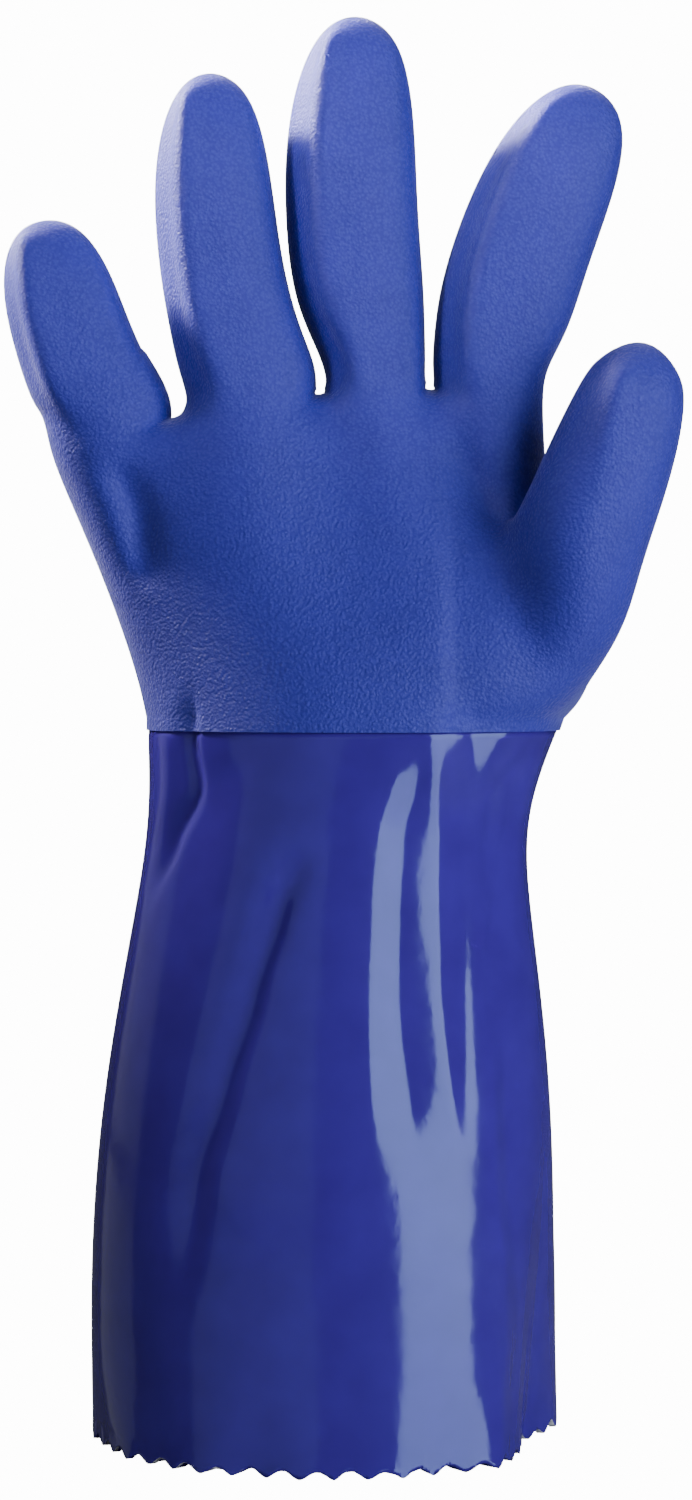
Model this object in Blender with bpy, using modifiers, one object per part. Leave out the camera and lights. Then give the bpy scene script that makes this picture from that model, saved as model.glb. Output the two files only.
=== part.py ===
"""A long PVC coated work glove for the right hand, standing on its hem with the palm to the front.

Two pieces make it, seamless in the real glove and meeting at the dip line just above the wrist. The gauntlet is
the smooth, flared sleeve with its pinked hem. The hand is the palm, the four fingers and the thumb under the
rough second dip. Both are hollow and open into each other.

Metres, +Z up, the palm towards -Y, the thumb towards +X. The origin is the centre of the glove's outline on
the surface that it stands on.
"""

import math

import bmesh
import bpy
from mathutils import Matrix, Vector

# Heights
GAUNTLET_LENGTH = 0.1750  # hem to dip line
PALM_LENGTH = 0.0830  # dip line to the base of the middle finger
FINGER_LENGTH = 0.0915  # middle finger

# Widths and depths over the outside
HEM_WIDTH = 0.1200
HEM_DEPTH = 0.0980
WRIST_WIDTH = 0.0918
WRIST_DEPTH = 0.0740
PALM_WIDTH = 0.1236
PALM_DEPTH = 0.0500
FINGER_WIDTH = 0.0345
FINGER_DEPTH = 0.0310
WEB_WIDTH = 0.0050

# The thumb: from the middle of its root on the palm to its tip
THUMB_RISE = 0.0760
THUMB_REACH = 0.0330
THUMB_WIDTH = 0.0330
THUMB_DEPTH = 0.0320

# Walls
GAUNTLET_WALL = 0.0014
HAND_WALL = 0.0018
DIP_GAP = 0.0003

# Pinked hem
TOOTH_PITCH = 0.0078
TOOTH_DEPTH = 0.0020
TOOTH_FLAT = 0.0015
HEM_TRIM = 0.0010  # cut off below the hem to leave its teeth level

COLUMNS = 26  # columns round the gauntlet and palm: 12 in front, 12 behind, one at each side
THUMB_SIDE = 12
SMOOTHING = 1
SWELL = 1 / 0.925  # an eight-sided loop shrinks by this when it is smoothed

# Rise as a share of GAUNTLET_LENGTH, flare from 0 at the wrist's size to 1 at the hem's, and the shift to the
# left as a share of WRIST_WIDTH
GAUNTLET_ROWS = (
    # rise, flare, shift
    (0.000, 0.95, 0.030),
    (0.060, 1.00, 0.034),
    (0.250, 0.97, 0.044),
    (0.450, 0.77, 0.048),
    (0.620, 0.46, 0.041),
    (0.750, 0.20, 0.034),
    (0.870, -0.01, 0.026),
)

# Rise as a share of PALM_LENGTH, the left and right edges as shares of half the PALM_WIDTH from its middle, the
# front and back as shares of half the PALM_DEPTH, and how far the row follows the fingers' fronts
PALM_ROWS = (
    # rise, left, right, front, back, finger share
    (0.000, 0.600, 1.040, 1.46, 1.40, 0.00),
    (0.120, 0.635, 1.220, 1.42, 1.28, 0.00),
    (0.330, 0.730, 1.100, 1.24, 1.12, 0.10),
    (0.560, 0.860, 1.010, 1.04, 0.98, 0.30),
    (0.780, 1.010, 1.010, 0.84, 0.84, 0.70),
)
BALL_PLACE = -34  # degrees round the palm from the thumb side, of the ball of the thumb
BALL_SPREAD = 22  # degrees
BALL_RISE = 0.26  # share of PALM_LENGTH
BALL_LENGTH = 0.22  # share of PALM_LENGTH
BALL_HEIGHT = 0.0100
PALM_SHIFT = 0.096  # the palm's middle to the left of the wrist's, as a share of PALM_WIDTH

# Each finger between its forks, as shares of half the PALM_WIDTH from the palm's middle; its base and length as
# shares of FINGER_LENGTH; its width and depth as shares of the middle finger's; its lean to the right at the
# base and tip in degrees; and its middle's place forward of the palm's as a share of FINGER_DEPTH
FINGERS = (
    # name, left, right, base, length, width, taper, depth, base lean, tip lean, forward
    ("little", -1.030, -0.460, -0.120, 0.620, 0.92, 0.84, 0.92, -25, -10, 0.06),
    ("ring", -0.460, 0.100, -0.045, 0.935, 0.93, 0.90, 0.97, -18, 6, 0.12),
    ("middle", 0.100, 0.520, -0.010, 1.060, 0.98, 0.97, 1.00, -14, 11, 0.00),
    ("index", 0.520, 1.000, -0.020, 0.915, 1.03, 0.91, 1.03, 6, 36, 0.02),
)
FINGER_ROWS = (
    # share of the length, share of the width
    (0.220, 1.00),
    (0.440, 1.00),
    (0.680, 1.00),
    (0.900, 0.70),
)
ROOT_SHARE = 0.075  # share of the length at which a finger already fills the room between its forks
FORK_CLEARANCE = 0.0012  # between neighbouring fingers just above their fork
CORNER = 0.76  # how square a finger's section is: 0.707 is round
FINGER_TURN = 8  # degrees that the fingers' fronts face towards the thumb

# The thumb's loops: rise as a share of THUMB_RISE, reach to the right as a share of THUMB_REACH, forward and
# the loop's width and depth as shares of THUMB_WIDTH and THUMB_DEPTH, and how many degrees the loop tips from
# the thumb's own direction to the direction in which the palm's side faces
THUMB_ROOT_HEIGHT = 0.3000  # share of PALM_LENGTH
THUMB_ROOT_SIDE = 0.8200  # share of half the PALM_WIDTH
THUMB_FACING = -47.0  # degrees from the thumb side that the palm's side faces at its root
THUMB_ROWS = (
    # rise, reach, forward, width, depth, tip
    (0.28, 0.53, 0.86, 1.02, 0.96, 22),
    (0.46, 0.69, 0.90, 0.94, 0.93, 8),
    (0.63, 0.83, 0.93, 0.84, 0.86, 0),
    (0.79, 0.93, 0.97, 0.68, 0.71, 0),
)
THUMB_SWELL = 0.0050  # how far the thumb's root stands out between the palm and the thumb's first loop
THUMB_SWELL_SHARES = (-0.4, 0.3, 1.0, 1.0, 0.8, 0.4, 0.1, 0.0)  # from the palm side round below and back
THUMB_TIP = (0.98, 1.01, 1.00)  # rise, reach, forward

# Lengthwise folds: where round the gauntlet in degrees from the thumb side, the front being -90; half width in
# degrees; depth as a share of HEM_WIDTH; and from the rise to the rise, as shares of GAUNTLET_LENGTH, between
# which it grows from nothing
FOLDS = (
    # place, half width, depth, full at, gone at
    (-14.0, 13.0, 0.110, 0.00, 0.55),
    (-63.0, 7.0, 0.012, 0.80, 0.25),
    (-50.0, 6.0, 0.010, 0.80, 0.25),
    (-37.0, 8.0, 0.022, 0.92, 0.62),
    (-141.0, 8.0, 0.026, 0.90, 0.66),
)


def between(low, high, share):
    return low + (high - low) * share


def ease(share):
    """A smooth step from 0 to 1."""
    share = min(1.0, max(0.0, share))
    return share * share * (3 - 2 * share)


def fold_depth(angle, rise):
    """How far the folds push the wall in at this place."""
    depth = 0.0
    for place, half_width, share, full_at, gone_at in FOLDS:
        along = ease((rise - gone_at) / (full_at - gone_at))
        across = math.exp(-0.5 * ((angle - place) / half_width) ** 2)
        depth += share * HEM_WIDTH * along * across
    return depth


def column_angle(column):
    """Degrees from the thumb side: the front is -90."""
    return -180 + (column + 1) * 360 / COLUMNS


def gauntlet_point(column, rise, flare, shift):
    angle = column_angle(column)
    half_width = between(WRIST_WIDTH, HEM_WIDTH, flare) / 2
    half_depth = between(WRIST_DEPTH, HEM_DEPTH, flare) / 2
    inward = fold_depth(angle, rise)
    x = (half_width - inward) * math.cos(math.radians(angle)) - shift * WRIST_WIDTH
    y = (half_depth - inward) * math.sin(math.radians(angle))
    return Vector((x, y, rise * GAUNTLET_LENGTH))


def finger_axes(lean, turn):
    """The directions along a finger, across it and to its back."""
    along = Vector((math.sin(math.radians(lean)), 0, math.cos(math.radians(lean))))
    across = Vector((math.cos(math.radians(lean)), 0, -math.sin(math.radians(lean))))
    twist = Matrix.Rotation(math.radians(turn), 3, along)
    across = twist @ across
    back = along.cross(across)
    return along, across, back


def eight_points(centre, across, back, half_width, half_depth):
    """A finger's section: left side, front left, front, front right, right side, and back round behind."""
    shares = (
        (-1, 0),
        (-CORNER, -CORNER),
        (0, -1),
        (CORNER, -CORNER),
        (1, 0),
        (CORNER, CORNER),
        (0, 1),
        (-CORNER, CORNER),
    )
    return [centre + across * (half_width * u) + back * (half_depth * v) for u, v in shares]


def palm_middle():
    return -PALM_SHIFT * PALM_WIDTH


def finger_base(finger):
    """The middle of a finger's base, and half the room between its forks."""
    name, left, right, base, length, width, taper, depth, lean, tip_lean, forward = finger
    half_palm = PALM_WIDTH / 2
    x = palm_middle() + half_palm * (left + right) / 2
    z = GAUNTLET_LENGTH + PALM_LENGTH + base * FINGER_LENGTH
    return Vector((x, -forward * FINGER_DEPTH, z)), half_palm * (right - left) / 2


def base_ring():
    """The palm's last row, which follows the fingers' fronts, sides and backs."""
    points = [None] * COLUMNS
    for number, finger in enumerate(FINGERS):
        centre, room = finger_base(finger)
        half_depth = SWELL * finger[7] * FINGER_DEPTH / 2
        for step in (-1, 0, 1):
            across = centre.x + step * room * 0.62
            deep = half_depth * (1.0 if step == 0 else CORNER)
            height = centre.z - 0.02 * FINGER_LENGTH
            points[3 * number + 1 + step] = Vector((across, centre.y - deep, height))
            points[23 - 3 * number - step] = Vector((across, centre.y + deep, height))
    first, first_room = finger_base(FINGERS[0])
    last, last_room = finger_base(FINGERS[-1])
    points[COLUMNS - 1] = Vector((first.x - first_room, first.y, first.z))
    points[THUMB_SIDE] = Vector((last.x + last_room, last.y, last.z))
    return points


def palm_point(column, row, base):
    rise, left, right, front, back, finger_share = row
    angle = math.radians(column_angle(column))
    half_palm = PALM_WIDTH / 2
    middle = palm_middle() + half_palm * (right - left) / 2
    half_width = half_palm * (right + left) / 2
    half_depth = PALM_DEPTH / 2 * (front if math.sin(angle) < 0 else back)
    height = GAUNTLET_LENGTH + rise * PALM_LENGTH
    plain = Vector((middle + half_width * math.cos(angle), half_depth * math.sin(angle), height))
    low = min(point.x for point in base)
    high = max(point.x for point in base)
    spread = (base[column].x - low) / (high - low)
    fitted_x = middle - half_width + 2 * half_width * spread
    side = 1 if math.sin(angle) > 0 else -1
    fitted_y = side * half_depth * (abs(base[column].y) / (FINGER_DEPTH * 0.56))
    if column in (THUMB_SIDE, COLUMNS - 1):
        fitted_y = 0.0
    fitted = Vector((fitted_x, fitted_y, height))
    round_it = (column_angle(column) - BALL_PLACE) / BALL_SPREAD
    up_it = (rise - BALL_RISE) / BALL_LENGTH
    ball = BALL_HEIGHT * math.exp(-0.5 * (round_it**2 + up_it**2))
    return plain.lerp(fitted, finger_share) + Vector((0, -ball, 0))


def add_loop(bm, points):
    return [bm.verts.new(point) for point in points]


def join_loops(bm, lower, upper, material):
    """Four-sided faces between two loops of as many points, facing out."""
    count = len(lower)
    for number in range(count):
        following = (number + 1) % count
        face = bm.faces.new((lower[number], lower[following], upper[following], upper[number]))
        face.material_index = material


def close_loop(bm, loop, centre):
    """The four faces over an eight-point loop."""
    top = bm.verts.new(centre)
    left, front_left, front, front_right, right, back_right, back, back_left = loop
    corners = (
        (front_left, front, top, left),
        (front, front_right, right, top),
        (top, right, back_right, back),
        (left, top, back, back_left),
    )
    for corner in corners:
        bm.faces.new(corner).material_index = 1


def grow_finger(bm, finger, root):
    name, left, right, base, length, width, taper, depth, base_lean, tip_lean, forward = finger
    centre, room = finger_base(finger)
    reach = length * FINGER_LENGTH
    along, across, back = finger_axes(0, FINGER_TURN)
    half_width = SWELL * (room - FORK_CLEARANCE / 2)
    half_depth = SWELL * depth * FINGER_DEPTH / 2
    lifted = centre + along * (ROOT_SHARE * reach)
    following = add_loop(bm, eight_points(lifted, across, back, half_width, half_depth))
    join_loops(bm, root, following, 1)
    loop = following
    done = 0.0
    for share, full in FINGER_ROWS + ((1.0, 0.0),):
        lean = between(base_lean, tip_lean, (done + share) / 2)
        along, across, back = finger_axes(lean, FINGER_TURN)
        centre = centre + along * ((share - done) * reach)
        done = share
        if full == 0.0:
            close_loop(bm, loop, centre)
            break
        lean = between(base_lean, tip_lean, share)
        along, across, back = finger_axes(lean, FINGER_TURN)
        size = SWELL * full * between(1.0, taper, share) / 2
        points = eight_points(
            centre, across, back, size * width * FINGER_WIDTH, size * depth * FINGER_DEPTH
        )
        following = add_loop(bm, points)
        join_loops(bm, loop, following, 1)
        loop = following


def grow_fingers(bm, ring):
    """The fingers and the webs between them, on the palm's last row."""
    half_web = WEB_WIDTH / 2
    sides = [ring[COLUMNS - 1]]
    for number in range(len(FINGERS) - 1):
        centre, room = finger_base(FINGERS[number])
        neighbour, neighbour_room = finger_base(FINGERS[number + 1])
        x = centre.x + room
        y = (centre.y + neighbour.y) / 2
        z = (centre.z + neighbour.z) / 2
        sides.append(bm.verts.new((x - half_web, y, z)))
        sides.append(bm.verts.new((x + half_web, y, z)))
    sides.append(ring[THUMB_SIDE])
    for number, finger in enumerate(FINGERS):
        front = ring[3 * number : 3 * number + 3]
        behind = ring[22 - 3 * number : 25 - 3 * number]
        root = [sides[2 * number]] + front + [sides[2 * number + 1]] + behind
        grow_finger(bm, finger, root)
    for number in range(len(FINGERS) - 1):
        right_side = sides[2 * number + 1]
        left_side = sides[2 * number + 2]
        front = (ring[3 * number + 2], ring[3 * number + 3], left_side, right_side)
        behind = (right_side, left_side, ring[21 - 3 * number], ring[22 - 3 * number])
        bm.faces.new(front).material_index = 1
        bm.faces.new(behind).material_index = 1


def thumb_centres():
    root = Vector(
        (
            palm_middle() + THUMB_ROOT_SIDE * PALM_WIDTH / 2,
            0.0,
            GAUNTLET_LENGTH + THUMB_ROOT_HEIGHT * PALM_LENGTH,
        )
    )
    centres = []
    for rise, reach, forward in [row[:3] for row in THUMB_ROWS] + [THUMB_TIP]:
        centres.append(root + Vector((reach * THUMB_REACH, -forward * THUMB_DEPTH, rise * THUMB_RISE)))
    return centres


def grow_thumb(bm, root):
    """The thumb, on the eight points round the opening at the palm's front right."""
    centres = thumb_centres()
    facing = Vector((math.cos(math.radians(THUMB_FACING)), math.sin(math.radians(THUMB_FACING)), 0))
    loop = root
    for number, row in enumerate(THUMB_ROWS):
        rise, reach, forward, width, depth, tip = row
        before = centres[max(0, number - 1)]
        along = (centres[number + 1] - before).normalized()
        across = along.cross(facing).normalized()
        along = Matrix.Rotation(math.radians(tip), 3, across) @ along
        outward = across.cross(along)
        half_width = SWELL * width * THUMB_WIDTH / 2
        half_depth = SWELL * depth * THUMB_DEPTH / 2
        points = eight_points(centres[number], across, -outward, half_width, half_depth)
        if number == 0:
            middle = []
            for vertex, point, share in zip(root, points, THUMB_SWELL_SHARES):
                middle.append((vertex.co + point) / 2 + facing * (share * THUMB_SWELL))
            following = add_loop(bm, middle)
            join_loops(bm, loop, following, 1)
            loop = following
        following = add_loop(bm, points)
        join_loops(bm, loop, following, 1)
        loop = following
    close_loop(bm, loop, centres[-1])


def glove_cage():
    """The whole glove as one coarse open surface: material 0 is the gauntlet, 1 the hand."""
    bm = bmesh.new()
    base = base_ring()
    rings = []
    for row in GAUNTLET_ROWS:
        rings.append(add_loop(bm, [gauntlet_point(k, *row) for k in range(COLUMNS)]))
    dip_row = len(rings)
    for row in PALM_ROWS:
        rings.append(add_loop(bm, [palm_point(k, row, base) for k in range(COLUMNS)]))
    rings.append(add_loop(bm, base))
    for number in range(len(rings) - 1):
        join_loops(bm, rings[number], rings[number + 1], 0 if number < dip_row else 1)
    grow_fingers(bm, rings[-1])
    low, middle, high = rings[dip_row + 1 : dip_row + 4]
    inner, centre, outer = THUMB_SIDE - 3, THUMB_SIDE - 2, THUMB_SIDE - 1
    bmesh.ops.delete(bm, geom=[middle[centre]], context="VERTS")
    thumb_root = [
        middle[inner],
        low[inner],
        low[centre],
        low[outer],
        middle[outer],
        high[outer],
        high[centre],
        high[inner],
    ]
    grow_thumb(bm, thumb_root)
    return bm


def new_material(name, colour, roughness):
    material = bpy.data.materials.new(name)
    material.use_nodes = True
    shader = material.node_tree.nodes["Principled BSDF"]
    shader.inputs["Base Color"].default_value = colour
    shader.inputs["Roughness"].default_value = roughness
    shader.inputs["Metallic"].default_value = 0.0
    material.diffuse_color = colour
    return material


def smoothed_cage(collection):
    """The cage after one step of smoothing, as a mesh."""
    bm = glove_cage()
    mesh = bpy.data.meshes.new("glove_cage")
    bm.to_mesh(mesh)
    bm.free()
    mesh.materials.append(None)
    mesh.materials.append(None)
    cage = bpy.data.objects.new("glove_cage", mesh)
    collection.objects.link(cage)
    smoothing = cage.modifiers.new("smoothing", "SUBSURF")
    smoothing.levels = SMOOTHING
    smoothing.render_levels = SMOOTHING
    smoothing.boundary_smooth = "ALL"
    graph = bpy.context.evaluated_depsgraph_get()
    smooth = bpy.data.meshes.new_from_object(cage.evaluated_get(graph))
    bpy.data.objects.remove(cage)
    return smooth


def piece_mesh(name, smooth, keep):
    """The faces of one material, with its open edge at the dip line level and clear of the other piece."""
    bm = bmesh.new()
    bm.from_mesh(smooth)
    others = [face for face in bm.faces if face.material_index != keep]
    bmesh.ops.delete(bm, geom=others, context="FACES")
    line = GAUNTLET_LENGTH + (DIP_GAP / 2 if keep == 1 else -DIP_GAP / 2)
    for vertex in bm.verts:
        if vertex.is_boundary and vertex.co.z > GAUNTLET_LENGTH / 2:
            vertex.co.z = line
        elif vertex.is_boundary:
            vertex.co.z = -HEM_TRIM
    for face in bm.faces:
        face.material_index = 0
        face.smooth = True
    mesh = bpy.data.meshes.new(name)
    bm.to_mesh(mesh)
    bm.free()
    return mesh


def add_piece(name, mesh, wall, material, collection):
    piece = bpy.data.objects.new(name, mesh)
    mesh.materials.clear()
    mesh.materials.append(material)
    collection.objects.link(piece)
    skin = piece.modifiers.new("wall", "SOLIDIFY")
    skin.thickness = wall
    skin.offset = -1
    skin.use_even_offset = True
    skin.use_rim = True
    return piece


def hem_line(mesh):
    """The hem's points in order round the gauntlet."""
    bm = bmesh.new()
    bm.from_mesh(mesh)
    edges = [edge for edge in bm.edges if edge.is_boundary and edge.verts[0].co.z < GAUNTLET_LENGTH / 2]
    start = min((edge.verts[0] for edge in edges), key=lambda vertex: vertex.co.y)
    points = [start.co.copy()]
    here = start
    used = set()
    while True:
        onward = [edge for edge in here.link_edges if edge in edges and edge not in used]
        if not onward:
            break
        used.add(onward[0])
        here = onward[0].other_vert(here)
        points.append(here.co.copy())
    bm.free()
    return points


def add_notches(line, collection):
    """One cutter with a round bar across the wall between each two teeth of the hem."""
    lengths = [(line[n + 1] - line[n]).length for n in range(len(line) - 1)]
    perimeter = sum(lengths)
    count = round(perimeter / TOOTH_PITCH)
    pitch = perimeter / count
    opening = pitch - TOOTH_FLAT
    radius = (opening**2 / 4 + TOOTH_DEPTH**2) / (2 * TOOTH_DEPTH)
    bm = bmesh.new()
    for number in range(count):
        along = (number + 0.5) * pitch
        place = 0
        while along > lengths[place]:
            along -= lengths[place]
            place += 1
        direction = (line[place + 1] - line[place]).normalized()
        point = line[place] + direction * along
        across = Vector((direction.y, -direction.x, 0))
        turn = Vector((0, 0, 1)).rotation_difference(across).to_matrix().to_4x4()
        spin = Matrix.Rotation(math.radians(15), 4, "Z")
        place_matrix = Matrix.Translation((point.x, point.y, TOOTH_DEPTH - radius))
        bmesh.ops.create_cone(
            bm,
            cap_ends=True,
            segments=12,
            radius1=radius,
            radius2=radius,
            depth=6 * GAUNTLET_WALL,
            matrix=place_matrix @ turn @ spin,
        )
    return add_cutter("hem_notches", bm, collection)


def add_cutter(name, bm, collection):
    mesh = bpy.data.meshes.new(name)
    bm.to_mesh(mesh)
    bm.free()
    cutter = bpy.data.objects.new(name, mesh)
    collection.objects.link(cutter)
    cutter.hide_render = True
    cutter.display_type = "WIRE"
    return cutter


def add_trim(collection):
    """A block under the hem whose top is the surface that the teeth stand on."""
    bm = bmesh.new()
    size = Matrix.Diagonal((2 * HEM_WIDTH, 2 * HEM_DEPTH, 10 * HEM_TRIM, 1))
    bmesh.ops.create_cube(bm, size=1, matrix=Matrix.Translation((0, 0, -5 * HEM_TRIM)) @ size)
    return add_cutter("hem_trim", bm, collection)


def cut(piece, name, cutter):
    cutting = piece.modifiers.new(name, "BOOLEAN")
    cutting.operation = "DIFFERENCE"
    cutting.solver = "EXACT"
    cutting.object = cutter


def build():
    for item in list(bpy.data.objects):
        bpy.data.objects.remove(item, do_unlink=True)
    glove = bpy.data.collections.new("pvc_coated_work_glove")
    bpy.context.scene.collection.children.link(glove)
    cutters = bpy.data.collections.new("cutters")
    bpy.context.scene.collection.children.link(cutters)

    smooth = smoothed_cage(glove)
    xs = [vertex.co.x for vertex in smooth.vertices]
    ys = [vertex.co.y for vertex in smooth.vertices]
    smooth.transform(Matrix.Translation((-(min(xs) + max(xs)) / 2, -(min(ys) + max(ys)) / 2, 0)))

    gloss_blue = new_material("smooth_blue_pvc", (0.02, 0.035, 0.32, 1), 0.22)
    rough_blue = new_material("rough_blue_pvc", (0.035, 0.06, 0.42, 1), 0.75)
    gauntlet = add_piece("gauntlet", piece_mesh("gauntlet", smooth, 0), GAUNTLET_WALL, gloss_blue, glove)
    add_piece("hand", piece_mesh("hand", smooth, 1), HAND_WALL, rough_blue, glove)

    cut(gauntlet, "level_hem", add_trim(cutters))
    cut(gauntlet, "pinking", add_notches(hem_line(gauntlet.data), cutters))


build()
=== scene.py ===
import math

import bmesh
import bpy
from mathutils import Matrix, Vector


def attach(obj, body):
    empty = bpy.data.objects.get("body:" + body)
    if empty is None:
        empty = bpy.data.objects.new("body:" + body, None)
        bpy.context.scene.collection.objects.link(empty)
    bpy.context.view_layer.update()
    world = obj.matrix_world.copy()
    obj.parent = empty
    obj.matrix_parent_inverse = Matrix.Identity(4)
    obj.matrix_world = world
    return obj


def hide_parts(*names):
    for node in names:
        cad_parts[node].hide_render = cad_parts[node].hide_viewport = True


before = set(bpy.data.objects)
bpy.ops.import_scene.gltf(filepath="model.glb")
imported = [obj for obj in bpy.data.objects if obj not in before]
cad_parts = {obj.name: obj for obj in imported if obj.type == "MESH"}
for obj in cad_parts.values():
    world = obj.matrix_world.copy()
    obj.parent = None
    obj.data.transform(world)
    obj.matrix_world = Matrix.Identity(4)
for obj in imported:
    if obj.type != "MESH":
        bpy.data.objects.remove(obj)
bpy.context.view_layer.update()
bpy.ops.object.select_all(action="DESELECT")

# ==== Smooth gauntlet ========================================================================================
# The flared sleeve from the dip line at the wrist to the pinked hem: cotton knit dipped once in liquid blue PVC,
# which cures to a smooth gloss. It hangs in long flutes at the front, is creased at both sides of the wrist,
# and turns in along a sharp lengthwise fold at the right.

# The wall and its pinked hem, in metres.
GAUNTLET_WALL = 0.0014
DIP_RIM = (0.1740, 0.1760)  # the heights between which the wall's upper rim lies
HEM_FOOT = 0.0  # the tips of the teeth
HEM_ROW = 0.0052  # the first row of faces above the teeth
HEM_CUT = HEM_ROW * 0.86  # the solid's own teeth below this height are cut off and made again, finer
HEM_RIM = (HEM_FOOT - 0.0005, HEM_FOOT + 0.0005)
TOOTH_PITCH = 0.0079
TOOTH_DEPTH = 0.0021
TOOTH_ROUNDING = 0.85  # a power: below 1 the notches are wide and the tips are narrow
TOOTH_UNEVEN = ((0.16, 2.6, 1), (0.10, 1.7, 0))  # by how much, over how many teeth and from where depths differ
RING_STEPS = 720  # the wall's foot is measured in this many steps round the sleeve

# From here on sizes are in mm, and folds go in towards a line through the sleeve's middle.
CENTRE_X = -2
LIP_TUCK = 0.36  # the top of the wall goes in under the rough coat's edge, and down
LIP_TUCK_DOWN = 0.9
LIP_TUCK_FOOT, LIP_TUCK_FADE = 171.0, 2.6
FOLD_CLEARANCE = 2.4  # the inner side keeps clear of a fold this far beside it

# The flutes at the front, right of the middle. At each height the wall falls back from the first place to the
# second, comes forward to a crest at the third, falls back again to the fourth and meets the plain wall at the last.
FLUTES = (
    # height, start, trough, crest, foot, end
    (178.0, 14.0, 19.5, 21.5, 33.5, 35.5),
    (162.6, 12.5, 18.8, 22.4, 32.4, 34.0),
    (147.8, 10.0, 15.3, 22.9, 30.7, 32.3),
    (132.8, 8.6, 14.4, 22.8, 30.0, 31.4),
    (111.6, 7.6, 14.3, 23.0, 29.8, 31.5),
    (101.0, 7.4, 15.1, 24.2, 30.1, 31.7),
    (90.5, 7.8, 16.6, 25.6, 30.0, 32.1),
    (80.0, 8.4, 17.7, 27.0, 29.8, 32.1),
    (64.0, 9.0, 20.5, 28.0, 30.0, 32.0),
)
FLUTE_SLOPES = (0.17, -0.225, 0.165, -0.12)  # of those four stretches, how steeply the wall goes in
FLUTE_SOFTENING = ((-1.1, 0.13), (-0.6, 0.22), (0, 0.30), (0.6, 0.22), (1.1, 0.13))  # places beside, and weights
FLUTES_ACROSS = (4, 50)
FLUTES_MARGIN = 12  # of plain wall past their end
LEFT_FLUTE_TOP, LEFT_FLUTE_TOP_FADE = 172, 12
LEFT_FLUTE_FOOT, LEFT_FLUTE_FOOT_FADE = 66, 26
RIGHT_FLUTE_FOOT, RIGHT_FLUTE_FOOT_FADE = 72, 24
# Just under the dip line the front stands forward, from its start across to the crest, and falls back past the foot.
SHOULDER_SLOPE = -0.075
SHOULDER_START, SHOULDER_PAST = 6.0, 4
SHOULDER_HEIGHT, SHOULDER_FADE = 150, 16

# Other folds of the front: each runs down through these (x, z) places, is so wide to its left and right, and goes in
# by its depth. A ridge has a minus sign. It fades out over the last two lengths, at its top and at its foot.
FRONT_FOLDS = (
    ("left crease", ((-35.0, 179), (-35.2, 171), (-33.4, 160), (-39.6, 146), (-45.5, 132)), 2.2, 1.5, 1.30, 2, 18),
    ("left welt", ((-41.0, 174), (-40.4, 160), (-43.5, 146)), 2.6, 2.0, -0.80, 8, 16),
    ("right crease", ((47.0, 170), (43.5, 165), (38.6, 159), (36.4, 146), (36.2, 128)), 2.4, 3.2, 1.05, 8, 26),
    ("right tuck", ((45.0, 166), (42.5, 157), (38.9, 138), (36.4, 118), (37.2, 96)), 1.8, 2.8, 0.80, 10, 24),
    ("left valley", ((-10.0, 142), (-14.5, 133), (-21.0, 111), (-27.5, 90), (-34.0, 69), (-37.0, 40)),
     5.5, 4.0, 1.90, 16, 40),
    ("left patch", ((-22.0, 170), (-30.0, 158), (-38.0, 146)), 6.0, 7.0, 0.40, 14, 14),
)
FADE_AT_TOP, FADE_AT_FOOT = 0.5, 0.2  # a fold's strength at its ends, before it is eased
FRONT_FADE = 14  # folds of the front die out over this depth at the sleeve's sides
# The turned fold at the right: the front panel ends in an edge along these places, and the wall steps back there.
TURNED_EDGE = ((37.6, 112), (38.2, 87), (38.9, 63), (41.0, 46), (41.5, 28), (39.9, 15), (39.6, -4))
TURNED_STEP = 3.0
TURNED_SLOPE = 1.9  # half of the width over which it steps
TURNED_REACH = 13.0  # the wall comes forward again over this width
TURNED_BROW, TURNED_BROW_WIDTH = 0.35, 4.0  # the panel stands forward before its edge
TURNED_TOP_FADE = 30
TURNED_SIDE, TURNED_SIDE_FADE = 2, 10
# Soft waves of the back: depth, how many round the sleeve, and the height over which they turn.
BACK_WAVES = ((0.75, 9, 40), (0.45, 15, -26))
BACK_FADE = 16
BACK_FOOT_FADE = 60
BACK_TOP, BACK_TOP_FADE = 176, 30
# Soft waves of the hem: depth, how many round the sleeve, and where they start.
HEM_WAVES = ((0.5, 7, 1.1), (0.35, 13, 0))
HEM_WAVES_TOP, HEM_WAVES_FADE = 26, 30

GLOSS_BLUE = (0.0370, 0.0155, 0.2100, 1.0)
GLOSS_BLUE_THIN = (0.0430, 0.0195, 0.2480, 1.0)  # where the single coat is thinner over the knit
KNIT_WHITE = (0.56, 0.56, 0.54, 1.0)
KNIT_SHADE = (0.30, 0.30, 0.31, 1.0)


def pick(piece):
    """Make this the only selected piece."""
    bpy.ops.object.select_all(action="DESELECT")
    piece.select_set(True)
    bpy.context.view_layer.objects.active = piece


def joined_copy(node, name):
    """The shape of a CAD node as one joined mesh of four-sided faces."""
    piece = bpy.data.objects.new(name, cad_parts[node].data.copy())
    bpy.context.scene.collection.objects.link(piece)
    piece.data.materials.clear()
    pick(piece)
    bpy.ops.object.mode_set(mode="EDIT")
    bpy.ops.mesh.select_all(action="SELECT")
    bpy.ops.mesh.remove_doubles(threshold=0.00002)
    bpy.ops.mesh.tris_convert_to_quads(face_threshold=math.radians(60), shape_threshold=math.radians(70))
    bpy.ops.object.mode_set(mode="OBJECT")
    return piece


OUTER, INNER, RIM = 0, 1, 2  # the sides of a wall, as numbers of its faces' materials


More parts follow.
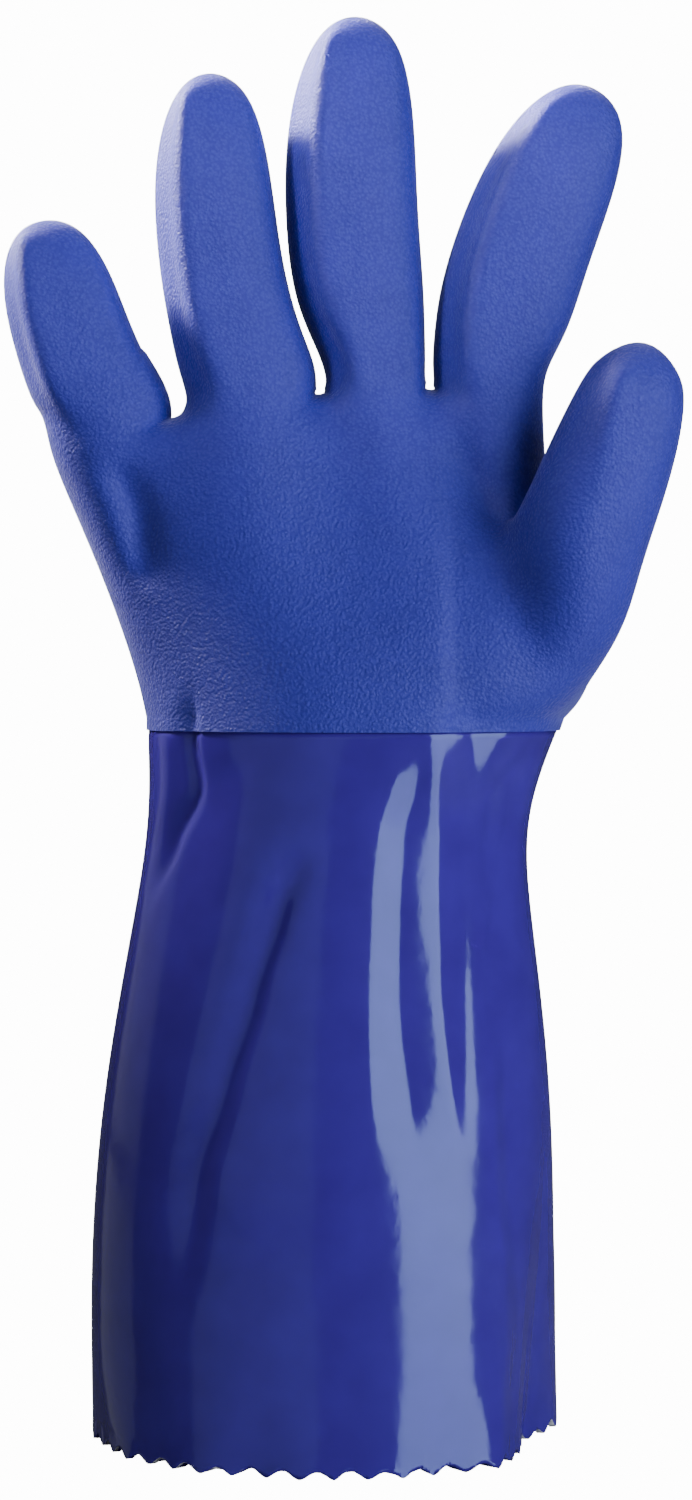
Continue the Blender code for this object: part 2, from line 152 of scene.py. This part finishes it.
def name_walls(piece, rims):
    """Keep the wall's rims sharp, and mark which faces are its outer side, its inner side and its rims."""
    bm = bmesh.new()
    bm.from_mesh(piece.data)
    sharp = bm.edges.layers.float.new("crease_edge")
    for edge in bm.edges:
        height = (edge.verts[0].co.z + edge.verts[1].co.z) / 2
        if any(low < height < high for low, high in rims) and edge.calc_face_angle(0) > math.radians(55):
            edge[sharp] = 1.0
    widest = max(bm.faces, key=lambda face: math.hypot(*face.calc_center_median()[:2]))
    outer, waiting = {widest}, [widest]
    while waiting:
        for edge in waiting.pop().edges:
            if edge[sharp] == 0:
                for face in edge.link_faces:
                    if face not in outer:
                        outer.add(face)
                        waiting.append(face)
    for face in bm.faces:
        on_rim = sum(edge[sharp] > 0 for edge in face.edges) > 1
        face.material_index = RIM if on_rim else OUTER if face in outer else INNER
    bm.to_mesh(piece.data)
    bm.free()


def round_off(piece, levels):
    """Subdivide to a smooth surface, and apply it."""
    pick(piece)
    smoothing = piece.modifiers.new("smoothing", "SUBSURF")
    smoothing.levels = levels
    smoothing.render_levels = levels
    bpy.ops.object.modifier_apply(modifier=smoothing.name)


def ease(share):
    """0 to 1 with soft ends."""
    share = min(max(share, 0.0), 1.0)
    return share * share * (3 - 2 * share)


def across_at(path, height):
    """Where a fold's line runs at one height, on a soft curve through its places."""
    if height >= path[0][1]:
        return path[0][0]
    for (x0, z0), (x1, z1) in zip(path, path[1:]):
        if height >= z1:
            share = (z0 - height) / (z0 - z1)
            return x0 + (x1 - x0) * (0.5 * share + 0.5 * ease(share))
    return path[-1][0]


def fold_in(x, z, folds):
    """How far the wall goes in at a place of the front, all in mm."""
    total = 0.0
    for _, path, left, right, depth, top, foot in folds:
        strength = ease((path[0][1] - z) / top + FADE_AT_TOP) * ease((z - path[-1][1]) / foot + FADE_AT_FOOT)
        if strength > 0:
            away = x - across_at(path, z)
            total += strength * depth * math.exp(-(away / (left if away < 0 else right)) ** 2)
    return total


flute_lines = {}


def flute_line(z):
    """The flutes' section at one height: its places across and how far each goes in, in mm."""
    z = round(z, 1)
    if z not in flute_lines:
        above, below = next(pair for pair in zip(FLUTES, FLUTES[1:]) if z >= pair[1][0] or pair[1] is FLUTES[-1])
        share = ease((above[0] - z) / (above[0] - below[0]))
        places = [first + (second - first) * share for first, second in zip(above[1:], below[1:])]
        first = ease((LEFT_FLUTE_TOP - z) / LEFT_FLUTE_TOP_FADE) * ease((z - LEFT_FLUTE_FOOT) / LEFT_FLUTE_FOOT_FADE)
        second = ease((z - RIGHT_FLUTE_FOOT) / RIGHT_FLUTE_FOOT_FADE)
        depths = [0.0]
        for slope, strength, low, high in zip(FLUTE_SLOPES, (first, first, second, second), places, places[1:]):
            depths.append(depths[-1] + slope * strength * (high - low))
        forward = ease((z - SHOULDER_HEIGHT) / SHOULDER_FADE) * SHOULDER_SLOPE * (places[2] - SHOULDER_START)
        places = [SHOULDER_START] + places + [places[-1] + FLUTES_MARGIN]
        depths = [0.0] + depths + [0.0]
        crest, back = places[3], places[4] + SHOULDER_PAST
        for number, place in enumerate(places):
            if place <= crest:
                depths[number] += forward * (place - SHOULDER_START) / (crest - SHOULDER_START)
            elif place < back:
                depths[number] += forward * (back - place) / (back - crest)
        flute_lines[z] = places, depths
    return flute_lines[z]


def flute_in(x, z):
    """How far the flutes go in at a place of the front, all in mm, with soft crests and troughs."""
    places, depths = flute_line(z)
    total = 0.0
    for away, weight in FLUTE_SOFTENING:
        for low, high, start, end in zip(places, places[1:], depths, depths[1:]):
            if low < x + away <= high:
                total += weight * (start + (end - start) * (x + away - low) / (high - low))
                break
    return total


def turned_in(x, y, z):
    """How far back, in mm, the wall lies behind the turned edge at the right."""
    away = x - across_at(TURNED_EDGE, z)
    strength = ease((TURNED_EDGE[0][1] - z) / TURNED_TOP_FADE) * ease((-y - TURNED_SIDE) / TURNED_SIDE_FADE)
    if away < -TURNED_SLOPE:
        return -TURNED_BROW * strength * math.exp(-((away + TURNED_SLOPE) / TURNED_BROW_WIDTH) ** 2)
    rise = ease((away + TURNED_SLOPE) / (2 * TURNED_SLOPE))
    reach = math.exp(-(max(away, 0) / TURNED_REACH) ** 2)
    return strength * (rise * TURNED_STEP * reach - TURNED_BROW * (1 - rise))


def outer_places(piece, wall):
    """For each vertex, the place on the wall's outer side that it belongs to, so both sides move alike."""
    inside = {index for face in piece.data.polygons if face.material_index == INNER for index in face.vertices}
    return [vertex.co - vertex.normal * (wall if vertex.index in inside else 0) for vertex in piece.data.vertices]


def move_all(piece, places):
    """Put every vertex of a piece at its new place."""
    piece.data.vertices.foreach_set("co", [value for place in places for value in place])
    piece.data.update()


def coat_rims(piece):
    """Give the rims the coat's finish, which is the outer side's."""
    for face in piece.data.polygons:
        face.material_index = INNER if face.material_index == INNER else OUTER


def front_in(x, y, z):
    """How far the front goes in at a place, all in mm; nothing at the back."""
    if y >= 0:
        return 0.0
    flutes = flute_in(x, z) if FLUTES_ACROSS[0] < x < FLUTES_ACROSS[1] else 0.0
    return ease(-y / FRONT_FADE) * (fold_in(x, z, FRONT_FOLDS) + flutes)


gauntlet = joined_copy("gauntlet", "smooth_gauntlet")
bpy.ops.object.mode_set(mode="EDIT")
bm = bmesh.from_edit_mesh(gauntlet.data)
for face in bm.faces:
    face.select = face.calc_center_median().z < HEM_CUT
bm.select_flush_mode()
bmesh.update_edit_mesh(gauntlet.data)
bpy.ops.mesh.delete(type="FACE")
bm = bmesh.from_edit_mesh(gauntlet.data)
for edge in bm.edges:
    edge.select = edge.is_boundary
for vertex in bm.verts:
    if any(edge.is_boundary for edge in vertex.link_edges):
        vertex.co.z = HEM_ROW
bmesh.update_edit_mesh(gauntlet.data)
bpy.ops.mesh.extrude_edges_move(TRANSFORM_OT_translate={"value": (0, 0, HEM_FOOT - HEM_ROW)})
bpy.ops.mesh.bridge_edge_loops()
bpy.ops.mesh.select_all(action="SELECT")
bpy.ops.mesh.normals_make_consistent(inside=False)
bpy.ops.object.mode_set(mode="OBJECT")
name_walls(gauntlet, (DIP_RIM, HEM_RIM))
round_off(gauntlet, 2)


def split_columns(piece, top, front_only):
    """Cut the columns of faces below a height in two lengthwise, all round or at the front's outer side."""
    pick(piece)
    bpy.ops.object.mode_set(mode="EDIT")
    bpy.context.tool_settings.mesh_select_mode = (False, True, False)
    bm = bmesh.from_edit_mesh(piece.data)
    for edge in bm.edges:
        run = edge.verts[1].co - edge.verts[0].co
        outward = Vector((edge.verts[0].co.x, edge.verts[0].co.y, 0)).normalized()
        level = abs(run.z) < 0.55 * run.length and max(edge.verts[0].co.z, edge.verts[1].co.z) < top
        in_front = edge.verts[0].co.y < 0.004 and all(face.material_index != INNER for face in edge.link_faces)
        across_wall = abs(run.normalized().dot(outward)) >= 0.8
        edge.select = level and not across_wall and (in_front or not front_only)
    bmesh.update_edit_mesh(piece.data)
    bpy.ops.mesh.subdivide(number_cuts=1, quadcorner="INNERVERT")
    bpy.ops.object.mode_set(mode="OBJECT")


split_columns(gauntlet, 1.0, True)  # for the narrow flutes
split_columns(gauntlet, HEM_ROW + 0.0002, False)  # for the teeth

moved = []
for vertex, place in zip(gauntlet.data.vertices, outer_places(gauntlet, GAUNTLET_WALL)):
    x, y, z = (value * 1000 for value in place)
    radius = math.hypot(x - CENTRE_X, y)
    angle = math.atan2(y, x - CENTRE_X)
    # the inner side is coarser, so it also keeps clear of the folds beside it
    beside = (0,) if place == vertex.co else (-FOLD_CLEARANCE, 0, FOLD_CLEARANCE)
    inward = max(front_in(x + step, y, z) for step in beside)
    turned = max(turned_in(x + step, y, z) for step in beside) / 1000
    if y > 0:
        height = ease(z / BACK_FOOT_FADE) * ease((BACK_TOP - z) / BACK_TOP_FADE)
        waves = sum(depth * math.cos(count * angle + z / length) for depth, count, length in BACK_WAVES)
        inward += ease(y / BACK_FADE) * height * waves
    hem = ease((HEM_WAVES_TOP - z) / HEM_WAVES_FADE)
    inward += sum(hem * depth * math.cos(count * angle + start) for depth, count, start in HEM_WAVES)
    tuck = ease((z - LIP_TUCK_FOOT) / LIP_TUCK_FADE)
    inward = (inward + tuck * LIP_TUCK) / 1000
    away = Vector(((x - CENTRE_X) / radius * inward, y / radius * inward - turned, tuck * LIP_TUCK_DOWN / 1000))
    moved.append(vertex.co - away)
move_all(gauntlet, moved)
coat_rims(gauntlet)

# the pinked hem: soft teeth all round, evenly spaced along the wall's foot
low_places = [vertex.co for vertex in gauntlet.data.vertices if vertex.co.z < HEM_FOOT + 0.0001]
foot = sorted((math.atan2(place.y, place.x), place.x, place.y) for place in low_places)
ring = []
for step in range(RING_STEPS):
    angle = 2 * math.pi * (step + 0.5) / RING_STEPS - math.pi
    near = [(x, y) for turn, x, y in foot if abs(turn - angle) < 2 * math.pi / RING_STEPS]
    ring.append(Vector([sum(values) / len(near) for values in zip(*near)]))
walked = [0.0]
for step in range(RING_STEPS):
    walked.append(walked[-1] + (ring[(step + 1) % RING_STEPS] - ring[step]).length)
teeth = round(walked[-1] / TOOTH_PITCH)
for vertex in gauntlet.data.vertices:
    if vertex.co.z < HEM_ROW - 0.00001:
        turn = (math.atan2(vertex.co.y, vertex.co.x) + math.pi) / (2 * math.pi) * RING_STEPS - 0.5
        step = math.floor(turn) % RING_STEPS
        along = walked[step] + (walked[step + 1] - walked[step]) * (turn - math.floor(turn))
        phase = 2 * math.pi * teeth * along / walked[-1]
        uneven = sum((share * math.sin(phase / length + start) for share, length, start in TOOTH_UNEVEN), 1)
        notch = TOOTH_DEPTH * uneven * (0.5 + 0.5 * math.cos(phase)) ** TOOTH_ROUNDING
        vertex.co.z = HEM_ROW - (HEM_ROW - vertex.co.z) * (HEM_ROW - notch) / (HEM_ROW - HEM_FOOT)


def add_node(tree, kind, settings=None, values=None):
    """One shader node with its settings and the values of its sockets."""
    made = tree.nodes.new(kind)
    for name, value in (settings or {}).items():
        setattr(made, name, value)
    for socket, value in (values or {}).items():
        made.inputs[socket].default_value = value
    return made


def wire(tree, source, target):
    """Join an output to an input."""
    tree.links.new(source, target)


def noise_on(tree, place, scale, detail, roughness=0.5, stretch=None):
    """A noise in the piece's own place, so many waves to the metre."""
    if stretch:
        turned = add_node(tree, "ShaderNodeMapping", values={"Scale": stretch})
        wire(tree, place, turned.inputs["Vector"])
        place = turned.outputs["Vector"]
    made = add_node(tree, "ShaderNodeTexNoise", values={"Scale": scale, "Detail": detail, "Roughness": roughness})
    wire(tree, place, made.inputs["Vector"])
    return made.outputs["Fac"]


def ramp(tree, source, low, high, low_value=0.0, high_value=1.0):
    """Spread the part of a value between low and high over another range."""
    made = add_node(tree, "ShaderNodeMapRange", values={"From Min": low, "From Max": high, "To Min": low_value,
                                                        "To Max": high_value})
    wire(tree, source, made.inputs["Value"])
    return made.outputs["Result"]


def blend(tree, share, first, second):
    """Mix two colours by a share; each is a colour or a socket."""
    made = add_node(tree, "ShaderNodeMix", {"data_type": "RGBA"})
    for number, value in ((0, share), (6, first), (7, second)):
        if isinstance(value, bpy.types.NodeSocket):
            wire(tree, value, made.inputs[number])
        else:
            made.inputs[number].default_value = value
    return made.outputs[2]


def new_finish(name):
    """A material with its shader and the place on the piece."""
    finish = bpy.data.materials.new(name)
    finish.use_nodes = True
    tree = finish.node_tree
    shader = tree.nodes["Principled BSDF"]
    place = add_node(tree, "ShaderNodeTexCoord").outputs["Object"]
    return finish, tree, shader, place


def new_group(name, inputs, outputs):
    """A shader node group with named number inputs and outputs."""
    group = bpy.data.node_groups.new(name, "ShaderNodeTree")
    for label, value in inputs:
        socket = group.interface.new_socket(label, in_out="INPUT", socket_type="NodeSocketFloat")
        socket.default_value = value
    for label in outputs:
        group.interface.new_socket(label, in_out="OUTPUT", socket_type="NodeSocketFloat")
    return group, group.nodes.new("NodeGroupInput"), group.nodes.new("NodeGroupOutput")


# slow thick and thin places that every dipped coat has, and the faint print of the knit below it
coat, coat_in, coat_out = new_group("dipped_coat", (("Wave", 70.0), ("Print", 620.0)), ("Thickness", "Height"))
coat_place = add_node(coat, "ShaderNodeTexCoord").outputs["Object"]
slow = add_node(coat, "ShaderNodeTexNoise", values={"Detail": 2.0, "Roughness": 0.5})
fine = add_node(coat, "ShaderNodeTexNoise", values={"Detail": 1.0, "Roughness": 0.4})
wire(coat, coat_place, slow.inputs["Vector"])
wire(coat, coat_place, fine.inputs["Vector"])
wire(coat, coat_in.outputs["Wave"], slow.inputs["Scale"])
wire(coat, coat_in.outputs["Print"], fine.inputs["Scale"])
wire(coat, ramp(coat, slow.outputs["Fac"], 0.3, 0.7), coat_out.inputs["Thickness"])
printed = add_node(coat, "ShaderNodeMath", {"operation": "MULTIPLY_ADD"}, {1: 0.09})
wire(coat, fine.outputs["Fac"], printed.inputs[0])
wire(coat, slow.outputs["Fac"], printed.inputs[2])
wire(coat, printed.outputs[0], coat_out.inputs["Height"])

gloss, tree, shader, place = new_finish("smooth_blue_pvc")
dipped = add_node(tree, "ShaderNodeGroup", {"node_tree": coat})
wire(tree, blend(tree, dipped.outputs["Thickness"], GLOSS_BLUE_THIN, GLOSS_BLUE), shader.inputs["Base Color"])
wire(tree, ramp(tree, noise_on(tree, place, 260, 3), 0.3, 0.7, 0.10, 0.15), shader.inputs["Roughness"])
bump = add_node(tree, "ShaderNodeBump", values={"Strength": 0.35, "Distance": 0.0006})
wire(tree, dipped.outputs["Height"], bump.inputs["Height"])
wire(tree, bump.outputs["Normal"], shader.inputs["Normal"])
shader.inputs["IOR"].default_value = 1.53
shader.inputs["Specular Tint"].default_value = (0.50, 0.68, 1.0, 1.0)

lining, tree, shader, place = new_finish("cotton_knit_lining")
ribs = add_node(tree, "ShaderNodeTexWave", {"wave_type": "BANDS", "bands_direction": "Z"},
                {"Scale": 210.0, "Distortion": 1.6, "Detail": 1.0, "Detail Scale": 8.0})
wire(tree, place, ribs.inputs["Vector"])
loops_seen = noise_on(tree, place, 900, 2, 0.6, (1, 1, 0.45))
wire(tree, blend(tree, ramp(tree, loops_seen, 0.35, 0.65), KNIT_SHADE, KNIT_WHITE), shader.inputs["Base Color"])
bump = add_node(tree, "ShaderNodeBump", values={"Strength": 0.6, "Distance": 0.0004})
wire(tree, ribs.outputs["Fac"], bump.inputs["Height"])
wire(tree, bump.outputs["Normal"], shader.inputs["Normal"])
shader.inputs["Roughness"].default_value = 0.92

gauntlet.data.materials.append(gloss)
gauntlet.data.materials.append(lining)
pick(gauntlet)
bpy.ops.object.shade_smooth_by_angle(angle=math.radians(50))
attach(gauntlet, "root")
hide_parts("gauntlet")

# ==== Rough hand =============================================================================================
# The palm, the fingers and the thumb, dipped a second time in PVC with a coarse filler, which leaves a matte,
# sandy skin that grips. Its lower edge is the straight dip line, a thin lip on the gauntlet.

HAND_WALL = 0.0018
HAND_RIM = (0.1740, 0.1765)  # the heights between which the wall's rim lies
LIP_OUT = 0.00022  # the coat's edge stands out and hangs down over the smooth wall
LIP_DOWN = 0.0017
ROUGH_BLUE = (0.0120, 0.0150, 0.2750, 1.0)
ROUGH_BLUE_EVEN = (0.0160, 0.0190, 0.3150, 1.0)
# painted shade in the pits between the grains
ROUGH_BLUE_PIT_PAINTED_SHADE = (0.0100, 0.0100, 0.1900, 1.0)
ROUGH_BLUE_PAINTED_HIGHLIGHT = (0.0520, 0.0560, 0.4200, 1.0)  # a painted highlight on the tops of the grains

# From here on sizes are in mm.
DIP_HEIGHT = 174.6  # of the straight line where the rough coat ends
LIP_FADE = 12.0  # the gauntlet's folds die out over this height of the palm
# The fingers are squarish: where each ridge faces in degrees from the front, how wide it is in degrees, and how high.
FINGER_RIDGES = ((-23, 15, 2.3), (-58, 20, -0.8), (52, 20, 0.7), (16, 20, -0.4))
FINGERS_FOOT, FINGERS_FADE = 243, 18  # the ridges grow from this height, or on the thumb from its foot and side
THUMB_FOOT, THUMB_FOOT_FADE = 205, 12
THUMB_SIDE, THUMB_SIDE_FADE = 58, 8
TIP_STEEPNESS, TIP_FADE = 0.8, 0.5  # and die out where the surface faces up, at the tips
# The fingers' sides lean towards each other at their forks.
FORK_FILL = 1.1
FORK_HEIGHT, FORK_REACH = 258, 9
FORKS_ACROSS = (-48, 36)
FORK_SIDEWAYS, FORK_FADE = 0.5, 0.4  # only where the surface faces sideways
# Forms of the palm, as in the gauntlet's table of folds. They show only where the surface faces the front.
PALM_FACING, PALM_FADE = 0.2, 0.5
PALM_FOLDS = (
    ("thenar line", ((27.5, 236), (27.0, 215), (27.5, 190), (28.0, 172)), 1.8, 8.0, 1.1, 10, 12),
    ("dimple", ((30.5, 260), (31.5, 250)), 3.0, 3.0, 0.9, 5, 5),
    ("pocket by the thumb", ((30.0, 242), (34.5, 231), (39.5, 218)), 5.0, 3.4, 3.7, 14, 9),
    ("pocket by the little finger", ((-52.0, 236), (-48.0, 225), (-45.5, 208)), 4.0, 5.0, 3.4, 12, 14),
    ("palm hollow", ((-4.0, 238), (0.0, 215), (2.0, 190)), 16.0, 16.0, 0.9, 24, 24),
)

hand = joined_copy("hand", "rough_hand")
name_walls(hand, (HAND_RIM,))
round_off(hand, 2)
sides = {}
for face in hand.data.polygons:
    for index in face.vertices:
        sides.setdefault(index, set()).add(face.material_index)
lip = {index for index, kinds in sides.items() if OUTER in kinds and RIM in kinds}
lip_middle = sum((hand.data.vertices[index].co for index in lip), Vector()) / len(lip)
moved = []
for vertex, place in zip(hand.data.vertices, outer_places(hand, HAND_WALL)):
    x, y, z = (value * 1000 for value in place)
    new = vertex.co.copy()
    outward = vertex.normal if place == vertex.co else -vertex.normal
    on_finger = ease((z - FINGERS_FOOT) / FINGERS_FADE)
    on_thumb = ease((x - THUMB_SIDE) / THUMB_SIDE_FADE) * ease((z - THUMB_FOOT) / THUMB_FOOT_FADE)
    ridged = max(on_finger, on_thumb) * ease((TIP_STEEPNESS - abs(outward.z)) / TIP_FADE)
    facing = math.degrees(math.atan2(outward.x, -outward.y))
    swell = ridged * sum(high * math.exp(-((facing - ridge) / wide) ** 2) for ridge, wide, high in FINGER_RIDGES)
    if FORKS_ACROSS[0] < x < FORKS_ACROSS[1]:
        sideways = ease((abs(outward.x) - FORK_SIDEWAYS) / FORK_FADE)
        swell += FORK_FILL * math.exp(-((z - FORK_HEIGHT) / FORK_REACH) ** 2) * sideways
    new += outward * swell / 1000
    if y < 0:
        new.y += ease((-outward.y - PALM_FACING) / PALM_FADE) * fold_in(x, z, PALM_FOLDS) / 1000
        if z < DIP_HEIGHT + LIP_FADE:
            radius = math.hypot(x - CENTRE_X, y)
            inward = front_in(x, y, DIP_HEIGHT) * ease((DIP_HEIGHT + LIP_FADE - z) / LIP_FADE) / 1000
            new -= Vector(((x - CENTRE_X) / radius * inward, y / radius * inward, 0))
    if vertex.index in lip:
        new += Vector((new.x - lip_middle.x, new.y - lip_middle.y, 0)).normalized() * LIP_OUT
        new.z -= LIP_DOWN
    moved.append(new)
move_all(hand, moved)
coat_rims(hand)

# a coarse grain: rounded grits a millimetre wide with finer dust between them
grain, grain_in, grain_out = new_group("sandy_grain", (("Size", 1250.0),), ("Height", "Grits", "Mottle"))
grain_place = add_node(grain, "ShaderNodeTexCoord").outputs["Object"]
grits = add_node(grain, "ShaderNodeTexVoronoi", {"feature": "SMOOTH_F1"}, {"Smoothness": 0.6, "Randomness": 1.0})
dust = add_node(grain, "ShaderNodeTexNoise", values={"Detail": 3.0, "Roughness": 0.62})
mottle = noise_on(grain, grain_place, 95, 2, 0.55)
dust_size = add_node(grain, "ShaderNodeMath", {"operation": "MULTIPLY"}, {1: 1.4})
wire(grain, grain_in.outputs["Size"], grits.inputs["Scale"])
wire(grain, grain_in.outputs["Size"], dust_size.inputs[0])
wire(grain, dust_size.outputs[0], dust.inputs["Scale"])
wire(grain, grain_place, grits.inputs["Vector"])
wire(grain, grain_place, dust.inputs["Vector"])
bumps = ramp(grain, grits.outputs["Distance"], 0.0, 0.75, 1.0, 0.0)
height = add_node(grain, "ShaderNodeMath", {"operation": "MULTIPLY_ADD"}, {1: 1.3})
wire(grain, dust.outputs["Fac"], height.inputs[0])
wire(grain, bumps, height.inputs[2])
wire(grain, height.outputs[0], grain_out.inputs["Height"])
wire(grain, ramp(grain, height.outputs[0], 0.75, 1.6), grain_out.inputs["Grits"])
wire(grain, ramp(grain, mottle, 0.3, 0.7), grain_out.inputs["Mottle"])

rough, tree, shader, _ = new_finish("rough_blue_pvc")
sandy = add_node(tree, "ShaderNodeGroup", {"node_tree": grain})
# the grits' height paints shade into the pits and a highlight onto the grains' tops, 30 % of the colour below
painted_grain_shade_and_highlight = blend(tree, sandy.outputs["Grits"], ROUGH_BLUE_PIT_PAINTED_SHADE, ROUGH_BLUE_PAINTED_HIGHLIGHT)
even = blend(tree, sandy.outputs["Mottle"], ROUGH_BLUE, ROUGH_BLUE_EVEN)
wire(tree, blend(tree, 0.30, even, painted_grain_shade_and_highlight), shader.inputs["Base Color"])
wire(tree, ramp(tree, sandy.outputs["Grits"], 0.0, 1.0, 0.66, 0.50), shader.inputs["Roughness"])
bump = add_node(tree, "ShaderNodeBump", values={"Strength": 0.56, "Distance": 0.00030})
wire(tree, sandy.outputs["Height"], bump.inputs["Height"])
wire(tree, bump.outputs["Normal"], shader.inputs["Normal"])
shader.inputs["IOR"].default_value = 1.50
shader.inputs["Sheen Weight"].default_value = 0.38
shader.inputs["Sheen Roughness"].default_value = 0.32
shader.inputs["Sheen Tint"].default_value = (0.72, 0.70, 1.0, 1.0)

hand.data.materials.append(rough)
hand.data.materials.append(lining)
pick(hand)
bpy.ops.object.shade_smooth_by_angle(angle=math.radians(50))
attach(hand, "root")
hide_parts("hand")

# ==== Studio =================================================================================================
# A pale floor that runs into a white ground, with dim light all round. A large softbox stands at the right in front,
# two wide dim panels and two small lamps at the left, one dim panel in front and one above, as the gloss mirrors them.

CAMERA_DISTANCE = 0.85
CAMERA_HEIGHT = 0.190
CAMERA_DOWN = 1.45  # degrees that it looks down by
FRAME_HEIGHT = 0.3672  # of what it sees at the glove's middle plane
SENSOR = 36
GROUND_GLOW = 14.0  # of the ground, as the camera sees it

bpy.ops.object.camera_add(location=(0.00184, -CAMERA_DISTANCE, CAMERA_HEIGHT),
                          rotation=(math.radians(90 - CAMERA_DOWN), 0, 0))
camera = bpy.context.active_object
camera.name = "camera"
camera.data.sensor_width = SENSOR
camera.data.lens = SENSOR / (FRAME_HEIGHT / CAMERA_DISTANCE)
bpy.context.scene.camera = camera


def softbox(name, azimuth, height, distance, width, tall, watts, colour=(1, 1, 1), aim_height=0.19, spread=180):
    """An area light at an angle round the glove, which looks at it; 0 is the camera's side and 90 the right."""
    turn = math.radians(azimuth)
    place = Vector((math.sin(turn) * distance, -math.cos(turn) * distance, height))
    aim = (Vector((0, 0, aim_height)) - place).to_track_quat("-Z", "Y").to_euler()
    bpy.ops.object.light_add(type="AREA", location=place, rotation=aim)
    lamp = bpy.context.active_object
    lamp.name = name
    lamp.data.shape = "RECTANGLE"
    lamp.data.size = width
    lamp.data.size_y = tall
    lamp.data.energy = watts
    lamp.data.color = colour
    lamp.data.spread = math.radians(spread)


# name, angle, height, distance, width and height of the panel, watts, colour, height that it looks at, spread
softbox("key_softbox", 46, 0.34, 1.5, 0.95, 1.9, 38, (0.90, 0.97, 1.15))
softbox("high_behind_left", -114, 0.95, 0.80, 0.30, 0.30, 2.3, (0.94, 0.89, 1.0), 0.38, 18)
softbox("finger_light_left", -57, 0.78, 0.95, 0.20, 0.20, 0.27, (0.95, 0.90, 1.0), 0.40, 13)
softbox("front_fill", -6, 1.1, 1.5, 0.9, 0.5, 0.3)
softbox("left_panel", -32, 0.50, 1.2, 1.28, 1.0, 1.5)
softbox("far_left_panel", -115, 0.50, 1.2, 0.87, 1.0, 0.8)
softbox("top_light", 180, 1.3, 0.5, 0.8, 0.4, 5)


def whiten(tree, plain, glow, target):
    """Show a white glow to the camera, and the plain surface to all that it lights and mirrors."""
    path = add_node(tree, "ShaderNodeLightPath")
    mix = add_node(tree, "ShaderNodeMixShader")
    wire(tree, path.outputs["Is Camera Ray"], mix.inputs[0])
    wire(tree, plain.outputs[0], mix.inputs[1])
    wire(tree, glow.outputs[0], mix.inputs[2])
    wire(tree, mix.outputs[0], target)


world = bpy.data.worlds.new("studio")
bpy.context.scene.world = world
world.use_nodes = True
tree = world.node_tree
lighting = tree.nodes["Background"]
lighting.inputs["Color"].default_value = (0.80, 0.86, 1.0, 1.0)
lighting.inputs["Strength"].default_value = 0.05
glow = add_node(tree, "ShaderNodeBackground", values={"Color": (1, 1, 1, 1), "Strength": GROUND_GLOW})
whiten(tree, lighting, glow, tree.nodes["World Output"].inputs["Surface"])

bpy.ops.mesh.primitive_plane_add(size=8, location=(0, 0, 0))
floor = bpy.context.active_object
floor.name = "floor"
pale, tree, shader, _ = new_finish("pale_floor")
shader.inputs["Base Color"].default_value = (0.86, 0.87, 0.9, 1.0)
shader.inputs["Metallic"].default_value = 0.85
shader.inputs["Roughness"].default_value = 0.06
glow = add_node(tree, "ShaderNodeEmission", values={"Strength": GROUND_GLOW})
whiten(tree, shader, glow, tree.nodes["Material Output"].inputs["Surface"])
floor.data.materials.append(pale)
